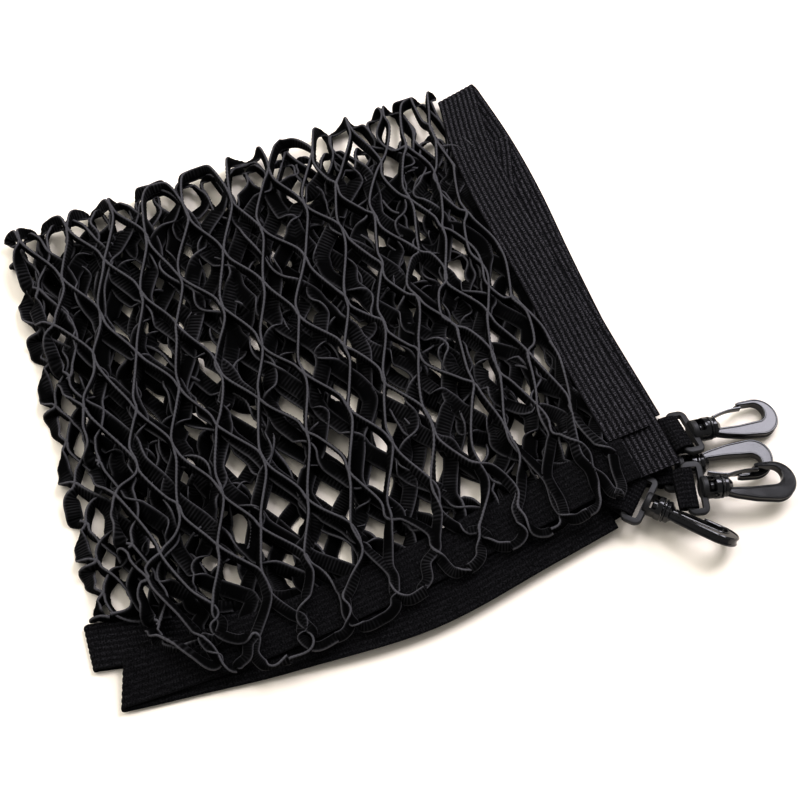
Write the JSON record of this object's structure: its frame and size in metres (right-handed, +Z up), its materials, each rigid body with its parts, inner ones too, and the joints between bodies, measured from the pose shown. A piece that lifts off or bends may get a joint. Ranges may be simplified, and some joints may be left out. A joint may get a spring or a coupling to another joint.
{
  "type": "cargo net",
  "caption": "Black elastic cargo net with woven edge webbing, folded in four and laid flat, with plastic swivel snap hooks gathered at one corner.",
  "frame": {"origin": "middle of the footprint, on the ground the folded net lies on", "axes": "+X along the folded net's front and back edges towards the side where the hooks lie, +Y towards the back fold, +Z up"},
  "size_m": [0.4646, 0.4098, 0.027],
  "materials": {
    "net_cord": "matt ribbed elastic cord",
    "webbing": "matt woven webbing",
    "hook_plastic": "glossy moulded plastic"
  },
  "bodies": {
    "packet": {"band_foot": "webbing", "band_head": "webbing", "band_left": "webbing", "band_right": "webbing", "hook_1_eye": "hook_plastic", "hook_2_eye": "hook_plastic", "hook_3_eye": "hook_plastic", "hook_4_eye": "hook_plastic", "net": "net_cord", "tab_1": "webbing", "tab_2": "webbing", "tab_3": "webbing", "tab_4": "webbing"},
    "hook_1": {"hook_1_body": "hook_plastic"},
    "gate_1": {"hook_1_gate": "hook_plastic"},
    "hook_2": {"hook_2_body": "hook_plastic"},
    "gate_2": {"hook_2_gate": "hook_plastic"},
    "hook_3": {"hook_3_body": "hook_plastic"},
    "gate_3": {"hook_3_gate": "hook_plastic"},
    "hook_4": {"hook_4_body": "hook_plastic"},
    "gate_4": {"hook_4_gate": "hook_plastic"}
  },
  "joints": [
    {"name": "hook_1_swivel", "type": "hinge", "parent": "packet", "child": "hook_1", "pos_m": [0.18296, -0.12345, 0.0123], "axis": [0.9794, -0.1029, -0.1736], "continuous": true},
    {"name": "hook_1_gate_spring", "type": "hinge", "parent": "hook_1", "child": "gate_1", "pos_m": [0.18984, -0.11734, 0.01121], "axis": [-0.1727, 0.0182, -0.9848], "range_deg": [0, 25], "stiffness_Nm_per_rad": 0.03},
    {"name": "hook_2_swivel", "type": "hinge", "parent": "packet", "child": "hook_2", "pos_m": [0.16526, -0.14185, 0.0079], "axis": [0.9557, -0.2922, -0.0349], "range_deg": [0, 110]},
    {"name": "hook_2_gate_spring", "type": "hinge", "parent": "hook_2", "child": "gate_2", "pos_m": [0.16929, -0.15019, 0.00768], "axis": [0.0334, -0.0102, 0.9994], "range_deg": [0, 25], "stiffness_Nm_per_rad": 0.03},
    {"name": "hook_3_swivel", "type": "hinge", "parent": "packet", "child": "hook_3", "pos_m": [0.16806, -0.16525, 0.0168], "axis": [0.9584, -0.2658, -0.1045], "range_deg": [0, 110]},
    {"name": "hook_3_gate_spring", "type": "hinge", "parent": "hook_3", "child": "gate_3", "pos_m": [0.17591, -0.16037, 0.01614], "axis": [-0.1007, 0.0279, -0.9945], "range_deg": [0, 25], "stiffness_Nm_per_rad": 0.03},
    {"name": "hook_4_swivel", "type": "hinge", "parent": "packet", "child": "hook_4", "pos_m": [0.12896, -0.16425, 0.013], "axis": [0.6428, -0.766, -0.0087], "range_deg": [-15, 30]},
    {"name": "hook_4_gate_spring", "type": "hinge", "parent": "hook_4", "child": "gate_4", "pos_m": [0.13633, -0.16623, 0.00774], "axis": [-0.5904, -0.4881, -0.6428], "range_deg": [0, 25], "stiffness_Nm_per_rad": 0.03}
  ]
}
